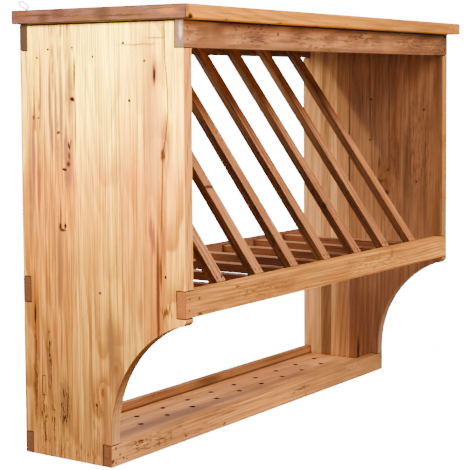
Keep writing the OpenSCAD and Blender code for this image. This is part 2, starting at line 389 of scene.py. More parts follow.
def woodSpaces(paint, look):
    # the coordinates that the grain and the marks are drawn in
    plain = paint.add("ShaderNodeTexCoord", out=3)
    grain = paint.add("ShaderNodeMapping", {"Vector": plain, "Rotation": grainTurns[look["grain"]],
                                            "Location": look["shift"]})
    stave = None
    for joint in look["joints"]:
        past = paint.calc("LESS_THAN", paint.part(plain, 1), joint)
        stave = past if stave is None else paint.calc("ADD", stave, past)
    if stave is not None:
        grain = paint.vector("ADD", grain, paint.scaled(spaceLook["staveShift"], stave))
        stave = paint.calc("DIVIDE", paint.calc("ADD", stave, 0.5), len(look["joints"]) + 1)
    wobble = paint.vector("SUBTRACT", paint.noise(plain, **spaceLook["wobble"], out=1), half)
    unsteady = paint.vector("ADD", plain, paint.scaled(wobble, spaceLook["unsteady"]))
    fine = paint.vector("ADD", plain, paint.scaled(wobble, spaceLook["fine"]))
    pull = paint.calc("SUBTRACT", paint.noise(grain, **spaceLook["pull"]), 0.5)
    reach = tuple(look["feather"] * c for c in grainAxes[look["grain"]])
    return {"plain": plain, "grain": grain, "unsteady": unsteady, "fine": fine, "stave": stave,
            "feathered": paint.vector("ADD", fine, paint.scaled(reach, pull)),
            "speckles": paint.pattern(grain, **spaceLook["speckles"])}


def perStave(paint, spaces, values):
    # the value or the colour that belongs to the stave
    shares = [tint(*value) if isinstance(value, tuple) else tint(value) for value in values]
    stops = [(k / len(values), share) for k, share in enumerate(shares)]
    return paint.ramp(spaces["stave"], stops, "CONSTANT")


ringLook = {
    "sway": {"detail": 3, "rough": 0.55, "stretch": (0.22, 1, 1)},
    "swell": -0.55,  # how fast the rings' swelling dies away from a knot
    "wander": {"scale": 14, "detail": 1, "stretch": (0.1, 1, 1)}, "wanderBy": 1.5,
    "start": 0.2, "full": 0.84, "end": 0.88,  # of the dark part, within one ring
    "fade": {"scale": 9, "along": 0.35, "low": 0.3, "high": 0.72}, "fadeBy": 0.75,
}


def growthRings(paint, spaces, look):
    # rings round a pith that leans a little; returns their darkness and the knots' reaches
    pith = paint.add("ShaderNodeMapping", {"Vector": spaces["grain"], "Rotation": look["lean"],
                                           "Location": look["pith"]})
    sway = paint.noise(pith, look["swayScale"], **ringLook["sway"], out=1)
    sway = paint.vector("MULTIPLY", paint.vector("SUBTRACT", sway, half),
                        (0, look["sway"], look["sway"]))
    bent = paint.vector("MULTIPLY", paint.vector("ADD", pith, sway), (0, 1, 1))
    radius = paint.vector("LENGTH", bent, out=1)
    reaches = []
    for at, size, push in look["knots"]:
        far = paint.vector("DIVIDE", paint.vector("SUBTRACT", spaces["unsteady"], at), size)
        far = paint.vector("LENGTH", far, out=1)
        swell = paint.calc("POWER", math.e, paint.times(far, ringLook["swell"]))
        radius = paint.calc("ADD", radius, paint.times(swell, push))
        reaches.append(far)
    turns = paint.calc("DIVIDE", radius, look["ringGap"])
    wander = paint.times(paint.noise(pith, **ringLook["wander"]), ringLook["wanderBy"])
    part = paint.calc("FRACT", paint.calc("ADD", turns, wander))
    ring = paint.times(paint.step(part, ringLook["start"], ringLook["full"]),
                       paint.step(part, 1.0, ringLook["end"]))
    fade = paint.pattern(spaces["grain"], **ringLook["fade"])
    return paint.times(ring, paint.times(fade, ringLook["fadeBy"], 1 - ringLook["fadeBy"])), reaches


# The patterns of every board's grain; where a scale is missing, it's the board's own
grainLook = {
    "blotch": {"detail": 3, "rough": 0.6, "low": 0.34, "high": 0.66},
    "bands": {"scale": 34, "along": 0.03, "low": 0.35, "high": 0.7},
    "threads": {"rough": 0.6, "along": 0.014, "low": 0.46, "high": 0.7},
    "hairs": {"rough": 0.6, "along": 0.02, "low": 0.45, "high": 0.66}, "hairScale": 2.2,
    "fibre": {"scale": 620, "detail": 3, "rough": 0.65, "along": 0.018, "low": 0.42, "high": 0.7},
    "flecks": {"scale": 300}, "fleckSoft": 0.05,
    "crowd": {"scale": 18, "along": 0.4, "low": 0.42, "high": 0.66},  # where flecks crowd
    "stain": {"scale": 120, "detail": 3, "rough": 0.65, "along": 0.045, "low": 0.48, "high": 0.62},
    "patch": {"scale": 13, "detail": 3, "rough": 0.6, "low": 0.3, "high": 0.54},
    "mottle": {"detail": 3, "rough": 0.6, "low": 0.35, "high": 0.65},
}
stainHeight = {"low": -0.5, "high": -0.15, "least": 0.2}  # less stain lower down
knotLook = {"halo": (2.6, 0.9), "core": (1.15, 0.75), "coreShare": 0.9}
endLook = {"ringShare": 0.5, "ringLeast": 0.12, "farFrom": -0.1, "farTo": 0.1}
reliefLook = {"ring": 0.5, "fibre": -0.35, "fleck": -1.2, "depth": 0.6 * mm}
glossLook = {"fibre": 0.12, "cloud": 0.16, "cloudScale": 16, "endGrain": 0.1}


def stainMask(paint, spaces, look, outside):
    # dark stain in streaks and patches, more on some staves than on others
    streaks = paint.pattern(spaces["grain"], **grainLook["stain"])
    patch = paint.pattern(spaces["plain"], **grainLook["patch"])
    height = paint.step(paint.part(spaces["plain"], 2), stainHeight["low"], stainHeight["high"])
    patch = paint.times(patch, paint.times(height, 1 - stainHeight["least"], stainHeight["least"]))
    return paint.times(paint.times(streaks, paint.times(patch, outside)),
                       perStave(paint, spaces, look["staveStain"]))


def endGrainColour(paint, spaces, look, ring, colour):
    light, dark, mottled = (shade(*levels) for levels in look["ends"])
    mottle = paint.pattern(spaces["plain"], look["endScale"], stretch=look["endStretch"],
                           **grainLook["mottle"])
    ends = paint.mix(paint.times(ring, endLook["ringShare"], endLook["ringLeast"]), light, dark)
    ends = paint.mix(mottle, ends, mottled)
    # the right-hand ends, in the dark in the photo, are a plain darker tone of the board
    far = paint.step(paint.part(spaces["plain"], 0), endLook["farFrom"], endLook["farTo"])
    ends = paint.mix(far, ends, paint.mix(1, colour, look["farEnds"], "MULTIPLY"))
    return layMarks(paint, spaces, ends, look["endMarks"])


def woodMaterial(look):
    paint = newMaterial(look["node"] + "Wood")
    spaces = woodSpaces(paint, look)
    grain, plain = spaces["grain"], spaces["plain"]
    ring, reaches = growthRings(paint, spaces, look)
    outside = 1.0
    if look["innerBase"]:
        outside = paint.step(paint.part(plain, 0), look["innerFrom"] + 1 * mm, look["innerFrom"])

    def toneOf(name):
        lit = tone(look["base"], look["tones"][name], look["contrast"])
        if not look["innerBase"]:
            return lit
        inner = tone(look["innerBase"], grainTones[name], look["contrast"])
        return paint.mix(outside, inner, lit)

    blotch = paint.pattern(grain, look["blotchScale"], along=look["blotchStretch"],
                           **grainLook["blotch"])
    bands = paint.pattern(grain, **grainLook["bands"])
    threads = paint.pattern(grain, look["threadScale"], **grainLook["threads"])
    if look["staveGrain"]:
        threads = paint.times(threads, perStave(paint, spaces, look["staveGrain"]))
    hairScale = look["threadScale"] * grainLook["hairScale"]
    hairs = paint.pattern(grain, hairScale, **grainLook["hairs"])
    fibre = paint.pattern(grain, **grainLook["fibre"])
    flecks = paint.pattern(grain, along=look["fleckStretch"], low=look["fleckFrom"],
                           high=look["fleckFrom"] + grainLook["fleckSoft"], **grainLook["flecks"])
    flecks = paint.times(flecks, paint.pattern(grain, **grainLook["crowd"]))

    colour = paint.mix(blotch, toneOf("light"), toneOf("mid"))
    for mask, share, name in ((bands, "bandShare", "warm"), (threads, "threadShare", "thread"),
                              (hairs, "hairShare", "fibre"), (ring, "ringShare", "dark"),
                              (fibre, "fibreShare", "fibre"), (flecks, "fleckShare", "fleck")):
        colour = paint.lay(colour, mask, look[share], toneOf(name))
    if look["staveStain"]:
        colour = paint.mix(stainMask(paint, spaces, look, outside), colour, look["stain"])
    # ramps that multiply the colour along an axis; on the left panel and the bars they are painted
    # light and shade
    for axis, low, high, stops in look["fades"]:
        place = paint.step(paint.part(plain, axis), low, high, soft=False)
        colour = paint.mix(outside, colour, paint.ramp(place, stops), "MULTIPLY")
    if spaces["stave"] is not None:
        colour = paint.mix(1, colour, perStave(paint, spaces, look["staveTints"]), "MULTIPLY")
    for far in reaches:
        colour = paint.lay(colour, paint.step(far, *knotLook["halo"]), look["haloShare"],
                           look["knotHalo"])
        colour = paint.lay(colour, paint.step(far, *knotLook["core"]), knotLook["coreShare"],
                           look["knotCore"])
    # the smaller a mark, the later it's painted
    marks = sorted(look["marks"], key=lambda m: -m["size"][0] * m["size"][1] * m["size"][2])
    colour = layMarks(paint, spaces, colour, marks)
    for crack in look["cracks"]:
        mask = crackMask(paint, spaces, crack)
        colour = paint.lay(colour, mask, crack["share"], shade(*markColours["bark"]))
    # painted shade: the side faces of bars and slats are darker
    if look["flankShade"]:
        shaded = paint.mix(1, colour, look["flankShade"], "MULTIPLY")
        colour = paint.mix(paint.layer("flank"), colour, shaded)
    endGrain = paint.layer("endGrain")
    colour = paint.mix(endGrain, colour, endGrainColour(paint, spaces, look, ring, colour))
    colour = paint.lay(colour, paint.layer("worn"), look["wornShare"], look["wornColour"])
    # dirt and painted shade on the eased edges in joints, painted shade on the walls of holes
    colour = paint.lay(colour, paint.layer("dirtAndShade"), look["dirtAndShadeShare"], look["dirtAndShadeColour"])
    paint.link(colour, "Base Color")

    gloss = paint.times(fibre, glossLook["fibre"], look["rough"])
    cloud = paint.noise(plain, glossLook["cloudScale"], 3)
    gloss = paint.times(cloud, glossLook["cloud"], gloss)
    gloss = paint.times(endGrain, glossLook["endGrain"], gloss)
    paint.link(gloss, "Roughness")
    height = paint.times(fibre, reliefLook["fibre"], paint.times(ring, reliefLook["ring"]))
    height = paint.times(flecks, reliefLook["fleck"], height)
    bump = paint.add("ShaderNodeBump", {"Height": height, "Strength": look["bump"],
                                        "Distance": reliefLook["depth"]})
    paint.link(bump, "Normal")
    paint.bsdf.inputs["Specular IOR Level"].default_value = look["specular"]
    paint.bsdf.inputs["Coat Weight"].default_value = look["wax"]
    paint.bsdf.inputs["Coat Roughness"].default_value = look["waxRough"]
    return paint.material


# Boards

plainBoard = {
    "slot": "rail_wood", "grain": "along", "seed": 1, "edge": 0.9 * mm, "dent": 0.9 * mm,
    "chips": (), "holeShade": False,
    # the colours; ends are the end grain's light, dark and mottled tones
    "base": shade(200, 140, 92), "tones": grainTones, "contrast": 1, "fades": (),
    "innerBase": None, "flankShade": None, "farEnds": tint(0.55, 0.48, 0.42),
    "joints": (), "staveTints": (), "staveGrain": (), "staveStain": (), "stain": shade(84, 50, 30),
    "knotHalo": shade(140, 76, 36), "knotCore": shade(74, 36, 18), "haloShare": 0.5,
    "ends": ((150, 92, 62), (84, 46, 34), (120, 68, 48)),
    "endScale": 120, "endStretch": (1, 1, 1),
    "wornColour": shade(96, 52, 28), "wornShare": 0.5, "dirtAndShadeColour": shade(26, 13, 12), "dirtAndShadeShare": 0.9,
    # the grain
    "shift": (0, 0, 0), "lean": (0, 0.02, 0.03), "pith": (0, 0.03, 0.05), "sway": 0.03,
    "swayScale": 6, "ringGap": 0.0055, "ringShare": 0.6, "blotchScale": 7,
    "blotchStretch": 0.28, "bandShare": 0.3, "threadScale": 170, "threadShare": 0.5,
    "hairShare": 0.35, "fibreShare": 0.3, "fleckFrom": 0.62, "fleckStretch": 0.12,
    "fleckShare": 0.6, "feather": 0.05,
    # the surface
    "bump": 0.35, "rough": 0.42, "specular": 0.25, "wax": 0.05, "waxRough": 0.3,
    "knots": (), "marks": (), "cracks": (), "endMarks": (),
}
meshLook = {
    "edgeSteps": 2, "join": 0.01 * mm, "flat": math.radians(0.6), "sharp": math.radians(25),
    "shadedSharp": math.radians(40), "shortest": 4 * mm, "cut": 12 * mm, "touch": 1.6 * mm,
    "bow": 0.3 * mm, "bowScale": 7, "dentScale": 55, "dentFrom": 0.28,
    "seedStep": (1.7, 3.1, 0.7), "endFrom": 0.15, "endSpan": 0.4, "across": 0.8, "upright": 0.9,
}


def allSurfaces():
    # a search tree over every CAD piece, to tell which edges lie in a joint
    corners, faces, owners = [], [], []
    for name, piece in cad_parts.items():
        first = len(corners)
        corners.extend(v.co.copy() for v in piece.data.vertices)
        faces.extend([first + k for k in p.vertices] for p in piece.data.polygons)
        owners.extend(name for p in piece.data.polygons)
    return BVHTree.FromPolygons(corners, faces), owners


surfaces, surfaceOwners = allSurfaces()


def inJoint(place, node):
    near = surfaces.find_nearest_range(place, meshLook["touch"])
    return any(surfaceOwners[hit[2]] != node for hit in near)


def byRim(place, box):
    # whether a place lies near one of the upright sides of its board
    return min(abs(place[k] - corner[k]) for k in range(2) for corner in box) < meshLook["touch"]


def easedCopy(node, look):
    # the board's own mesh, merged, with every long edge eased
    shape = bmesh.new()
    shape.from_mesh(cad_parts[node].data)
    bmesh.ops.remove_doubles(shape, verts=shape.verts, dist=meshLook["join"])
    bmesh.ops.dissolve_limit(shape, angle_limit=meshLook["flat"], verts=shape.verts,
                             edges=shape.edges)
    arrises = [e for e in shape.edges if e.is_manifold and e.calc_length() > meshLook["shortest"]
               and e.calc_face_angle(0) > meshLook["sharp"]]
    for face in shape.faces:
        face.smooth = False
    eased = bmesh.ops.bevel(shape, geom=arrises, offset=look["edge"], offset_type="OFFSET",
                            segments=meshLook["edgeSteps"], profile=0.5, affect="EDGES",
                            material=-1, clamp_overlap=True)
    for face in eased["faces"]:
        face.smooth = True
    return shape


def cutAt(shape, place, normal, clear=False):
    return bmesh.ops.bisect_plane(shape, geom=shape.verts[:] + shape.edges[:] + shape.faces[:],
                                  plane_co=place, plane_no=normal, clear_outer=clear)


def chipBoard(shape, look):
    # breaks off corners; the broken faces show end grain
    chipped = shape.faces.layers.float.new("chipped")
    for at, normal in look["chips"]:
        cut = cutAt(shape, at, normal, clear=True)
        rim = [e for e in cut["geom_cut"] if isinstance(e, bmesh.types.BMEdge)]
        for face in bmesh.ops.contextual_create(shape, geom=rim)["faces"]:
            face[chipped] = 1.0
            face.smooth = False
    return chipped


def sliceBoard(shape, axis):
    # cuts across the board, so that its long faces can bend
    reach = [v.co.dot(axis) for v in shape.verts]
    low, long = min(reach), max(reach) - min(reach)
    cuts = int(long / meshLook["cut"])
    for k in range(1, cuts):
        cutAt(shape, axis * (low + long * k / cuts), axis)


def weighFaces(shape, look, axis, chipped):
    # what the material reads on each face; the smooth faces are the eased edges
    layers = {name: shape.faces.layers.float.new(name)
              for name in ("worn", "dirtAndShade", "endGrain", "flank")}
    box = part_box(look["node"])
    shape.normal_update()
    for face in shape.faces:
        middle = face.calc_center_median()
        joined = face.smooth and inJoint(middle, look["node"])
        inHole = look["holeShade"] and abs(face.normal.z) < meshLook["upright"] \
            and not byRim(middle, box)
        slant = (abs(face.normal.dot(axis)) - meshLook["endFrom"]) / meshLook["endSpan"]
        face[layers["worn"]] = 1.0 if face.smooth and not joined else 0.0
        # eased edges in a joint get dirt and painted shade, the walls of holes painted shade
        face[layers["dirtAndShade"]] = 1.0 if inHole or joined else 0.0
        face[layers["endGrain"]] = 1.0 if face[chipped] else min(1.0, max(0.0, slant))
        # the side faces, which bars and slats darken as painted shade
        face[layers["flank"]] = 1.0 if abs(face.normal.x) > meshLook["across"] else 0.0


def bendInwards(shape, look):
    # points move inwards only, so the board stays within its own size
    offset = Vector([look["seed"] * k for k in meshLook["seedStep"]])
    moves = []
    for vert in shape.verts:
        if inJoint(vert.co, look["node"]):
            continue  # or light would come through the joint
        inwards = (0.5 + 0.5 * noise.noise(vert.co * meshLook["bowScale"] + offset)) * meshLook["bow"]
        if any(face.smooth for face in vert.link_faces):
            dent = noise.noise(vert.co * meshLook["dentScale"] + offset) - meshLook["dentFrom"]
            inwards += max(0.0, dent) * look["dent"]
        moves.append((vert, vert.co - vert.normal * inwards))
    for vert, place in moves:
        vert.co = place


def dressBoard(look):
    # a copy of the board with eased, dented edges and faces that aren't quite flat
    axis = grainAxes[look["grain"]]
    shape = easedCopy(look["node"], look)
    chipped = chipBoard(shape, look)
    sliceBoard(shape, axis)
    weighFaces(shape, look, axis, chipped)
    bendInwards(shape, look)
    for face in shape.faces:
        face.smooth = True
    piece = finishMesh(shape, look["node"] + "Dressed")
    piece.data.set_sharp_from_angle(angle=meshLook["shadedSharp"])
    weigh = piece.modifiers.new("evenShading", "WEIGHTED_NORMAL")
    weigh.weight = 100
    weigh.keep_sharp = True
    piece.data.materials.append(woodMaterial(look))
    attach(piece, "root")
    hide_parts(look["node"])


aimCamera(cameraLook)
for lampName, lampLook in lightLook.items():
    hangLight(lampName, lampLook)
makeRoom(roomLook)
print("camera, lights and room ready")

# Side panels

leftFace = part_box("left_side_panel")[0].x  # the left panel's outer face
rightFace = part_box("right_side_panel")[0].x  # the right panel's inner face
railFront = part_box("top_front_rail")[0].y  # level with the panels' front edges
panelMiddle = (rightFace - leftFace) / 2  # of a panel's thickness, from the rack's middle


def frontEdge(x, colour, share):
    return spot((x, railFront, -0.2), (14 * mm, 2 * mm, 300 * mm), colour, share, "band", 0.1)


def frontEdgeStreaks():
    # short dark streaks down the left panel's front edge, now to one side, now to the other
    places = [(-panelMiddle + (k * 5 % 7 - 3) * 2.4 * mm, -0.01 - 0.031 * k) for k in range(14)]
    return [spot((x, railFront, z), (1.3 * mm, 4 * mm, 17 * mm), "rust", 0.75, "streak", 0.7,
                 dimColours) for x, z in places]


leftMarks = marksOn(0, leftFace, [
    ("streak", "ink", (
        (-124.5, -66, 2, 30, 1, 0.35), (-112, -184, 4.4, 6, 1, 0.35), (-296, -64, 2.6, 14, 1, 0.5),
        (-27, -478, 2.2, 18, 1, 0.5),
    )),
    ("streak", "bark", (
        (-126, -150, 1.6, 50, 0.9, 0.5), (-31, -124, 1.3, 12, 1, 0.35), (-43, -122, 1.1, 11, 1, 0.35),
        (-111, -203, 3.2, 8, 1, 0.35), (-306, -385, 2.6, 26, 0.9, 0.5),
        (-300, -425, 2.6, 100, 0.9, 0.5), (-90, -300, 1.4, 28, 1, 0.35),
        (-26.5, -590, 4, 80, 0.7, 0.5), (-318, -452, 12, 6, 0.9),
    )),
    ("streak", "smoke", (
        (-113, -90, 6, 65, 0.9), (-94, -130, 4, 75, 0.9), (-104, -190, 3.4, 50, 0.9),
        (-81, -140, 2.6, 95, 0.9), (-68, -110, 3.4, 65, 0.95, 0.5), (-72, -172, 3.2, 40, 0.95, 0.5),
        (-47, -80, 2, 60, 0.9, 0.5), (-29, -196, 4, 60, 0.9, 0.5), (-107, -244, 8, 14, 0.8),
        (-260, -100, 1.5, 100, 0.6), (-222, -200, 1.5, 110, 0.6), (-205, -180, 1.4, 120, 0.55),
        (-190, -230, 1.4, 110, 0.6), (-172, -160, 1.4, 120, 0.5), (-150, -80, 1.4, 80, 0.5),
        (-274, -150, 2, 110, 0.7), (-87, -385, 7, 70, 0.85), (-84, -430, 3.5, 45, 0.85, 0.5),
        (-104, -420, 2, 80, 0.7), (-130, -380, 1.6, 120, 0.6), (-165, -430, 1.8, 140, 0.6),
        (-195, -400, 1.8, 130, 0.6), (-225, -380, 1.6, 120, 0.6), (-245, -420, 2.5, 70, 0.6),
        (-22, -240, 7, 130, 0.6), (-54, -260, 1.6, 110, 0.7, 0.5), (-72, -290, 1.6, 90, 0.7, 0.5),
        (-60, -575, 5, 70, 0.9), (-94, -635, 13, 46, 0.9), (-150, -620, 9, 60, 0.6),
        (-210, -555, 13, 66, 0.8), (-198, -510, 9, 60, 0.95), (-185, -640, 6, 66, 0.8),
    )),
    ("spot", "bark", (
        (-30, -138, 2.6, 3.6, 1), (-41, -138, 3, 1.8, 1), (-87, -163, 4.4, 2.8, 1),
        (-275.5, -43, 2.6, 2.6, 1), (-176, -432, 2.4, 2.4, 1),
    )),
    ("spot", "ink", (
        (-119, -106, 6.5, 3.6, 1), (-109, -216, 4.4, 6, 0.9, 0.5), (-100, -226, 5.5, 2.4, 1),
        (-66.5, -21.5, 2.4, 2.4, 1), (-40.5, -35, 2.2, 2.2, 1), (-121, -19, 2.2, 2.2, 1),
        (-232, -13, 3, 3, 1), (-243.5, -108, 2.6, 2.6, 1), (-165, -35, 2.4, 2.4, 1),
        (-312, -196, 4.5, 10, 0.9, 0.5), (-89, -324, 3, 5.4, 0.9, 0.5), (-100, -323, 3, 5, 1),
        (-94, -330, 7, 2, 0.9, 0.5), (-166, -625, 2.4, 2.4, 1), (-315, -395, 2.4, 2.4, 1),
    )),
    ("streak", "rust", (
        (-109, -214, 9, 46, 0.8), (-285, -125, 8, 100, 0.45, 0.7), (-296, -60, 5.5, 22, 0.9),
        (-317, -170, 8, 40, 0.75), (-286, -318, 3.6, 22, 1, 0.5), (-291, -338, 4, 22, 1, 0.5),
        (-300, -430, 4.6, 110, 1, 0.4), (-312, -345, 3.5, 34, 0.9, 0.5), (-30, -240, 2.4, 60, 0.8),
        (-40, -210, 2, 100, 0.7, 0.5), (-262, -455, 6, 30, 0.7),
    )),
    ("streak", "amber", ((-292, -140, 19, 125, 0.75),)),
    ("spot", "rust", ((-262, -16, 40, 1.6, 0.8, 0.6), (-300, -6, 20, 1.6, 0.8, 0.6))),
    ("speckle", "ink", (
        (-26.5, -590, 6.5, 80, 0.85, 0.5), (-59.5, -560, 5, 55, 1, 0.5), (-45, -660, 8, 50, 1, 0.5),
        (-94, -638, 12, 40, 1), (-68, -660, 6, 34, 1, 0.5),
    )),
    ("speckle", "bark", ((-165, -640, 14, 46, 0.6), (-110, -712, 70, 14, 0.6))),
    # painted shadow: dark bands under the top board's overhang
    ("band", "ink", ((-178, 22.2, 190, 2.4, 1, 0.2),)),
    ("band", "smoke", ((-178, 22.2, 190, 4.6, 0.7, 0.5),)),
    ("band", "bark", (
        (-49.7, -605, 0.9, 17, 0.95), (-41.3, -605, 0.9, 17, 0.95), (-45.5, -622, 4.2, 0.9, 0.95),
        (-45.5, -588, 4.2, 0.9, 0.95),
    )),
], lit=True)
rightMarks = marksOn(0, rightFace, [
    ("streak", "bark", (
        (-123, -250, 2.5, 140, 0.9, 0.5), (-268, -300, 5, 100, 0.4), (-190, -150, 3, 110, 0.35),
        (-225, -150, 2, 120, 0.35), (-195, -620, 5, 90, 0.4), (-255, -640, 8, 60, 0.4),
    )),
    # the second band is painted shade, darker at the top of the inner face under the top board
    ("band", "bark", ((-61, -580, 13.5, 136, 0.6, 0.1), (-178, 0, 178, 34, 0.5, 0.9))),
    ("streak", "ink", ((-200, -259, 3, 12, 0.7), (-146, -690, 3, 26, 0.9, 0.5))),
    ("spot", "bark", (
        (-221.5, -274, 4, 3.4, 0.8, 0.6), (-205, -300, 6, 3.6, 0.8, 0.6), (-179, -118, 2.6, 2.6, 0.9),
        (-310, -140, 3, 3, 0.9),
    )),
    ("spot", "ink", (
        (-219, -324, 5, 5, 0.75, 0.6), (-177, -208, 2.4, 2.4, 1), (-292.5, -298.5, 2.4, 2.4, 1),
    )),
    ("speckle", "bark", ((-212, -300, 22, 44, 0.8), (-300, -220, 30, 120, 0.4))),
    ("speckle", "rust", ((-236, -250, 12, 60, 0.8),)),
    ("streak", "rust", (
        (-212, -290, 16, 50, 0.6), (-240, -180, 6, 120, 0.5), (-285, -60, 14, 30, 0.5, 0.7),
        (-160, -600, 3, 110, 0.5),
    )),
])
panelBoard = {
    **plainBoard, "slot": "panel_wood", "grain": "upright", "pith": (0, 0.1, 0.06),
    "ringGap": 0.005, "ringShare": 0.5, "bandShare": 0.45, "threadShare": 0.6,
    "threadScale": 150, "fleckFrom": 0.66, "fleckShare": 0.35, "blotchScale": 6,
    "feather": 0.06, "wornShare": 0.2,
}
leftPanel = {
    **panelBoard, "node": "left_side_panel",
    # the outer face is brighter and yellower than the inner face: painted light of the strong yellow
    # lamp on that side
    "base": shade(248, 214, 78), "tones": strongTones, "stain": shade(116, 74, 68),
    "innerBase": shade(196, 146, 104), "innerFrom": leftFace + 0.8 * mm, "dirtAndShadeColour": shade(16, 8, 38),
    "ringShare": 0.7, "threadShare": 0.8, "hairShare": 0.6, "fibreShare": 0.5, "bandShare": 0.4,
    "threadScale": 240, "ringGap": 0.0036, "rough": 0.6, "specular": 0.02, "wax": 0,
    # the photo's light falls off downwards, so the colours do
    "fades": ((2, -0.73, 0.02, ((0, tint(0.43, 0.305, 1.3)), (0.2, tint(0.43, 0.305, 1.1)),
                                (0.45, tint(0.49, 0.335, 0.65)), (0.66, tint(0.68, 0.44, 0.5)),
                                (0.82, tint(1.04, 0.97, 0.7)), (1, tint(1.05, 1.14, 1)))),),
    "joints": (-0.0365, -0.1245, -0.2245, -0.272, -0.318),
    "staveTints": ((0.92, 0.86, 0.84), (0.88, 0.8, 0.8), (1.05, 1.06, 1),
                   (1.05, 1.04, 1), (0.97, 0.9, 0.85), (1.22, 1.22, 1)),
    "staveGrain": (0.9, 1.05, 1, 0.8, 0.9, 0.7), "staveStain": (1, 1, 0.2, 0.25, 0.7, 0.4),
    "knots": (((leftFace, -0.117, -0.105), (0.006, 0.0035, 0.0035), 0.006),
              ((leftFace, -0.313, -0.193), (0.006, 0.0035, 0.009), 0.008),
              ((leftFace, -0.209, -0.559), (0.006, 0.004, 0.006), 0.01),
              ((leftFace, -0.18, -0.602), (0.006, 0.0035, 0.008), 0.01)),
    "marks": (*leftMarks, frontEdge(-panelMiddle, "honey", 0.85), *frontEdgeStreaks()),
    "cracks": ({"face": leftFace, "width": 1.9 * mm, "core": 0.57 * mm, "share": 0.95,
                "fadeBelow": 20 * mm, "fadeAbove": 10 * mm,
                "path": ((0.024, -0.3175), (-0.040, -0.3185), (-0.075, -0.3215), (-0.106, -0.323),
                         (-0.135, -0.322), (-0.165, -0.3185), (-0.195, -0.313), (-0.235, -0.3105),
                         (-0.33, -0.308))},),
    "ends": ((112, 70, 44), (70, 40, 26), (92, 56, 36)),
}
rightPanel = {
    **panelBoard, "node": "right_side_panel", "seed": 2, "shift": (0.4, 0.03, 0.02),
    "base": shade(180, 132, 108), "contrast": 1.1,
    "joints": (-0.0473, -0.0744, -0.090, -0.1225, -0.334),
    "staveTints": ((1.45, 1.62, 1.4), (1.22, 1.32, 1.1), (1.5, 1.7, 1.4),
                   (1.2, 1.28, 1.1), (0.75, 0.72, 0.66), (0.63, 0.59, 0.54)),
    "staveGrain": (0.7, 1.2, 0.7, 1, 1, 1), "staveStain": (0.2, 0.4, 0.2, 0.3, 0.4, 0.4),
    "knots": (((rightFace, -0.216, -0.298), (0.006, 0.004, 0.005), 0.012),),
    "marks": (
        *rightMarks, frontEdge(panelMiddle, "straw", 0.8),
        spot((panelMiddle, railFront, -0.21), (12 * mm, 3 * mm, 16 * mm), "rust", 0.6),
        spot((panelMiddle, railFront, -0.34), (12 * mm, 3 * mm, 24 * mm), "rust", 0.4),
    ),
    "ends": ((150, 106, 80), (112, 70, 50), (132, 88, 64)),
}
for panelLook in (leftPanel, rightPanel):
    dressBoard(panelLook)
print("side panels done")

# Top board, rails and drain tray

boardEnd, boardFront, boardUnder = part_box("top_board")[0]
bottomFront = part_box("bottom_front_rail")[0].y
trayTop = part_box("drain_tray")[1].z
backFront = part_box("bottom_back_rail")[0].y

boardMarks = marksOn(1, boardFront, [
    ("streak", "rust", (
        (-300, 31, 60, 3, 0.45), (-230, 28, 40, 2, 0.55), (-390, 34, 30, 1.2, 0.6),
        (-150, 36, 50, 3, 0.4), (160, 32, 70, 3, 0.5),
    )),
    ("spot", "bark", (
        (-224, 23, 9, 2, 0.8, 0.5), (-385, 24, 4, 1.5, 0.8, 0.5), (5, 30, 4, 1.2, 0.7, 0.5),
    )),
    ("streak", "bark", ((330, 28, 50, 2, 0.4),)),
    ("spot", "rust", ((462, 33, 5, 5, 0.6, 0.6), (-492, 40, 5, 9, 0.7, 0.6))),
    ("band", "bark", ((494.5, 34, 1.6, 14, 0.7, 0.5),)),
    ("spot", "ink", ((-485, 24.5, 7, 6, 0.95, 0.4),)),
])
boardEndMarks = marksOn(0, boardEnd, [
    ("spot", "bark", ((-30, 38, 14, 7, 0.5, 0.6),)),
    ("spot", "ink", ((-75, 30, 12, 9, 0.5, 0.6), (-108, 39, 14, 8, 0.5, 0.6))),
    ("spot", "bark", ((-150, 30, 14, 6, 0.5, 0.6),)),
    ("spot", "ink", ((-205, 36, 16, 12, 0.55, 0.6),)),
    ("spot", "bark", ((-250, 40, 24, 4, 0.6, 0.6), (-285, 29, 34, 5, 0.5, 0.6))),
    ("spot", "rust", ((-340, 36, 18, 6, 0.4, 0.6),)),
    ("spot", "ink", (
        (-250, 31, 50, 1.2, 0.7, 0.6), (-330, 40, 34, 1, 0.6, 0.6), (-60, 36, 44, 1.1, 0.6, 0.6),
        (-130, 33, 30, 1.1, 0.6, 0.6),
    )),
    ("band", "ink", ((-180, 46.5, 200, 1.3, 0.8, 0.6), (-180, 22.5, 200, 1.3, 1, 0.6))),
], depth=12)
topBoard = {
    **plainBoard, "node": "top_board", "slot": "board_wood", "seed": 3, "shift": (0.2, 0.5, 0),
    "base": shade(219, 142, 46), "contrast": 0.9, "specular": 0.06, "wax": 0,
    "edge": 1.2 * mm, "chips": (((-0.490, -0.377, 0.0226), (-0.62, -0.5, -0.6)),),
    "fades": ((0, -0.5, 0.5, ((0, tint(1)), (0.45, tint(0.94, 0.94, 1)),
                              (0.7, tint(0.6, 0.63, 1.2)), (1, tint(0.5, 0.53, 1.2)))),),
    "pith": (0, 0.2, 0.05), "ringGap": 0.004, "threadScale": 220,
    # the last mark is painted shadow, a dark line on the underside of the end
    "marks": (*boardMarks,
              spot((-0.485, -0.18, boardUnder - 0.3 * mm), (13 * mm, 0.2, 1 * mm), "ink", 1,
                   "band", 0.2)),
    "wornColour": shade(60, 34, 28), "wornShare": 0.7, "endMarks": boardEndMarks,
    "endScale": 260, "endStretch": (1, 0.12, 1),
    "ends": ((73, 47, 72), (36, 21, 40), (52, 32, 54)),
}
dressBoard(topBoard)

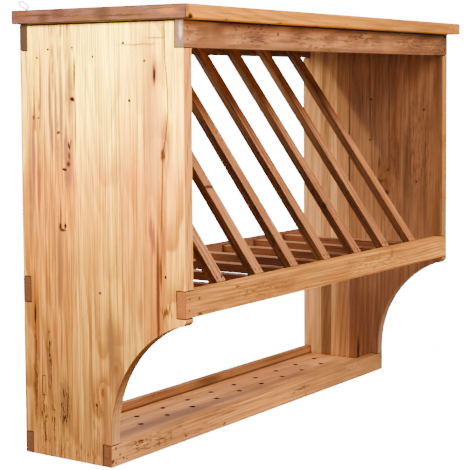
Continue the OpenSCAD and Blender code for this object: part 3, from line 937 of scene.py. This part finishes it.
topRailMarks = marksOn(1, railFront, [
    # painted shadow: a dark line under the top board's overhang
    ("band", "ink", ((0, 22.2, 480, 2.6, 1, 0.2),)),
    ("band", "rust", ((-400, -4, 40, 15, 0.65),)),
    ("spot", "bark", (
        (-385, 4, 18, 8, 0.5, 0.7), (-415, 2, 10, 8, 0.4, 0.7), (-262, -2, 30, 7, 0.5, 0.7),
        (-130, 6, 32, 8, 0.5, 0.7), (-20, 0, 26, 8, 0.5, 0.6), (160, 4, 24, 8, 0.5, 0.6),
    )),
    ("spot", "rust", ((-386, -6, 7, 6, 0.7, 0.6),)),
    ("speckle", "bark", (
        (-440, -4, 26, 15, 0.6, 0.5), (-262, -6, 36, 13, 0.8), (-120, 0, 36, 13, 0.8),
        (100, 2, 80, 13, 0.9, 0.5), (330, 0, 90, 13, 0.8, 0.5),
    )),
    ("spot", "ink", ((-199, 6, 4, 3, 0.8),)),
    ("streak", "bark", ((-175, -6, 40, 4, 0.6), (0, -18.5, 470, 2.5, 0.5, 0.7))),
])
middleRailMarks = marksOn(1, railFront, [
    ("streak", "rust", (
        (-405, -455, 28, 3, 0.6), (150, -428, 30, 6, 0.5), (-120, -424, 40, 2, 0.5),
        (-20, -440, 70, 2, 0.4), (330, -440, 60, 3, 0.4),
    )),
    ("spot", "bark", ((-436, -456.5, 6, 2.4, 0.9), (-437.5, -431, 3, 3, 0.8))),
    ("spot", "rust", (
        (224, -427, 6, 8, 0.85, 0.5), (-300, -437, 5, 4, 0.8), (-250, -430, 3, 5, 0.6),
        (-355, -442, 22, 7, 0.35, 0.7), (-180, -448, 26, 6, 0.4, 0.7), (60, -434, 24, 8, 0.4, 0.7),
    )),
    ("speckle", "bark", ((-250, -440, 90, 14, 0.5), (150, -440, 120, 14, 0.5))),
])
bottomRailMarks = marksOn(1, bottomFront, [
    ("spot", "ink", (
        (-463.5, -698, 2, 2, 1), (-453, -711, 1.8, 1.8, 1), (-442.6, -718.6, 2, 2, 1),
        (-147, -725, 2.4, 1.8, 1),
    )),
    ("spot", "bark", (
        (-472, -718.6, 5, 3.5, 1), (-266.5, -719.6, 3, 2.4, 1), (-345, -716, 3, 5, 0.8, 0.5),
    )),
    ("speckle", "bark", (
        (-370, -706, 60, 13, 0.95, 0.4), (123, -710, 30, 8, 0.9, 0.5), (330, -700, 60, 8, 0.7, 0.5),
    )),
    ("speckle", "ink", ((-400, -700, 30, 6, 0.9, 0.4),)),
    ("spot", "rust", (
        (-328.5, -713, 4, 7, 0.9, 0.5), (-310, -713, 3, 6, 0.8, 0.5), (-284, -686, 8, 3, 0.7, 0.5),
        (-93.5, -688, 8, 2.4, 0.7, 0.5),
    )),
    ("streak", "rust", (
        (-127, -704, 26, 2.4, 0.85, 0.5), (-200, -698, 40, 2, 0.6, 0.5),
        (-60, -700, 50, 1.6, 0.6, 0.5), (60, -704, 60, 2, 0.5, 0.5),
    )),
])
backRailMarks = marksOn(1, backFront, [
    ("streak", "bark", ((55, -697, 36, 9, 0.5, 0.7),)),
    ("streak", "rust", ((-120, -690, 60, 5, 0.6), (-300, -700, 60, 5, 0.6), (300, -694, 80, 4, 0.6))),
    # dirt and painted shade: a dark line where the tray meets this rail
    ("band", "bark", ((0, -707.5, 480, 2.4, 0.8, 0.4),)),
], depth=8)
topRail = {
    "node": "top_front_rail", "base": shade(155, 103, 64), "contrast": 1.1,
    "blotchScale": 22, "blotchStretch": 0.6,
    "fleckFrom": 0.58, "fleckStretch": 0.35, "fleckShare": 0.7, "marks": topRailMarks,
    "fades": ((0, -0.47, 0.47, ((0, tint(1.15)), (0.5, tint(1.05)), (1, tint(0.5)))),),
    "ends": ((66, 47, 98), (42, 28, 64), (54, 38, 80)),
    # a painted highlight on the end
    "endMarks": marksOn(0, leftFace, [("spot", "paintedHighlight", ((-350, 4, 3, 12, 0.6, 0.6),))]),
}
middleRail = {
    "node": "middle_front_rail", "base": shade(197, 132, 58), "contrast": 1.25,
    "blotchScale": 15, "blotchStretch": 0.35, "threadShare": 0.65, "fleckShare": 0.8,
    "marks": middleRailMarks,
    "ends": ((110, 60, 52), (76, 36, 36), (98, 50, 44)),
}
bottomRail = {
    "node": "bottom_front_rail", "base": shade(176, 121, 72), "blotchScale": 14,
    "blotchStretch": 0.4, "threadShare": 0.7, "marks": bottomRailMarks,
    "fades": ((0, -0.47, 0.47, ((0, tint(1.15)), (0.5, tint(1.28, 1.2, 1)), (1, tint(0.63)))),),
    "ends": ((90, 52, 50), (50, 28, 30), (70, 40, 41)),
}
backRails = (
    {"node": "top_back_rail", "slot": "dark_rail_wood", "base": shade(120, 82, 62),
     "ends": ((36, 13, 32), (21, 7, 20), (29, 10, 27))},
    {"node": "middle_back_rail", "slot": "dark_rail_wood", "base": shade(130, 86, 62),
     "ends": ((71, 38, 40), (46, 23, 27), (58, 31, 34))},
    {"node": "bottom_back_rail", "slot": "dark_rail_wood", "base": shade(178, 124, 78),
     "marks": backRailMarks,
     "ends": ((82, 50, 50), (50, 29, 33), (66, 39, 41))},
)
for count, railLook in enumerate((topRail, middleRail, bottomRail, *backRails)):
    dressBoard({**plainBoard, "seed": 4 + count,
                "shift": (0.37 * count, 0.013 * count, 0.007 * count), **railLook})


def drainRow(count, y):
    # painted shade: the dark rims round one row of drain holes
    return [((k - (count - 1) / 2) * 80, y, 6.2, 6.2, 0.95, 0.12) for k in range(count)]


trayMarks = marksOn(2, trayTop, [
    ("streak", "mauve", ((-180, -118, 300, 17, 0.75), (-330, -150, 160, 9, 0.6))),
    ("streak", "rust", ((80, -95, 160, 6, 0.5), (-200, -60, 220, 5, 0.45))),
    ("streak", "bark", ((260, -120, 160, 14, 0.4),)),
    ("band", "bark", ((0, -137, 480, 0.7, 0.7, 0.4), (452, -100, 2.6, 100, 0.8, 0.4))),
    # dirt and painted shade: a dark line where the tray meets the back rail
    ("band", "ink", ((0, -19, 480, 2.6, 0.9, 0.4),)),
    ("spot", "ink", (*drainRow(11, -61), *drainRow(10, -103))),
])
dressBoard({
    **plainBoard, "node": "drain_tray", "slot": "tray_wood", "seed": 11, "shift": (0.1, 0.07, 0),
    "base": shade(212, 149, 95), "edge": 0.5 * mm, "marks": trayMarks,
    # the walls of the drain holes get painted shade
    "holeShade": True, "dirtAndShadeColour": shade(12, 6, 4), "dirtAndShadeShare": 1.0,
})
print("board, rails and tray done")

# Plate bars and floor slats

barBoard = {
    **plainBoard, "slot": "bar_wood", "grain": "sloping", "base": shade(181, 121, 70),
    # painted light: the bars grow lighter and bluer towards the top, where the top board shades them;
    # their darker side faces are painted shade
    "fades": ((2, -0.42, -0.03, ((0, tint(0.97)), (0.45, tint(1)), (1, tint(1.35, 1.6, 2.5)))),),
    "flankShade": tint(0.46, 0.46, 0.6), "threadScale": 260, "fleckStretch": 0.4,
    "fleckFrom": 0.57, "threadShare": 0.8, "fibreShare": 0.6, "ringShare": 0.8,
    "ringGap": 0.004, "contrast": 1.45,
    "ends": ((150, 100, 70), (96, 58, 40), (124, 78, 54)),
}
slatBoard = {
    **plainBoard, "slot": "slat_wood", "grain": "deep", "base": shade(177, 130, 102),
    # the slats' darker side faces are painted shade
    "flankShade": tint(0.4, 0.27, 0.22), "threadScale": 220,
}


def onBar(x, y, z, size, colour, share=0.9):
    reach = tuple(side * mm for side in size)
    return spot((x * mm, y * mm, z * mm), reach, colour, share, "spot", 0.4)


barMarks = {
    1: (onBar(-338, -331, -406, (2, 3, 3), "ink"),),
    2: (onBar(-233, -229, -266, (16, 3, 3.5), "ink"),
        onBar(-207.5, -326, -399, (2, 3, 3), "ink")),
    3: (onBar(-132, -238, -278, (3, 8, 8), "bark"),
        onBar(-94, -335, -411, (2, 3, 3), "ink")),
    4: (onBar(-16, -238, -278.5, (4, 8, 8), "bark"),
        onBar(4, -250, -290, (5, 10, 10), "rust", 0.7)),
    5: (onBar(102, -270.5, -323, (5, 8, 8), "ink"),
        onBar(110, -275, -328, (7, 14, 14), "rust", 0.7)),
}
barCount = sum(1 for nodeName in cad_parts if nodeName.startswith("plate_bar_"))
for count in range(1, barCount + 1):
    dressBoard({**barBoard, "node": f"plate_bar_{count}", "seed": 20 + count,
                "marks": barMarks.get(count, ()),
                "shift": (0.31 * count, 0.021 * count, 0.013 * count)})
    dressBoard({**slatBoard, "node": f"floor_slat_{count}", "seed": 30 + count,
                "shift": (0.23 * count, 0.017 * count, 0.011 * count)})
print("bars and slats done")

# Nails and hanger eyes keep their CAD meshes

nailLook = {
    "material": "agedNails", "nodes": ("rail_nails", "bar_nails", "tray_nails", "top_board_nails"),
    "iron": shade(58, 40, 30), "rust": shade(118, 70, 40), "metal": 0.5, "rough": 0.55,
    "scale": 900, "bump": 0.3, "depth": 0.2 * mm,
}
eyeLook = {
    **nailLook, "material": "dullBrass", "nodes": ("left_hanger_eye", "right_hanger_eye"),
    "iron": shade(120, 104, 78), "rust": shade(84, 66, 44), "rough": 0.4, "scale": 500,
}


def metalMaterial(look):
    paint = newMaterial(look["material"])
    coords = paint.add("ShaderNodeTexCoord", out=3)
    tarnish = paint.pattern(coords, look["scale"], 0.42, 0.7, detail=3, rough=0.6)
    paint.link(paint.mix(tarnish, look["iron"], look["rust"]), "Base Color")
    paint.link(paint.times(tarnish, 0.25, look["rough"]), "Roughness")
    paint.bsdf.inputs["Metallic"].default_value = look["metal"]
    bump = paint.add("ShaderNodeBump", {"Height": tarnish, "Strength": look["bump"],
                                        "Distance": look["depth"]})
    paint.link(bump, "Normal")
    return paint.material


for metalLook in (nailLook, eyeLook):
    metal = metalMaterial(metalLook)
    for nodeName in metalLook["nodes"]:
        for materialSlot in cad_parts[nodeName].material_slots:
            materialSlot.material = metal
print("nails and eyes done")
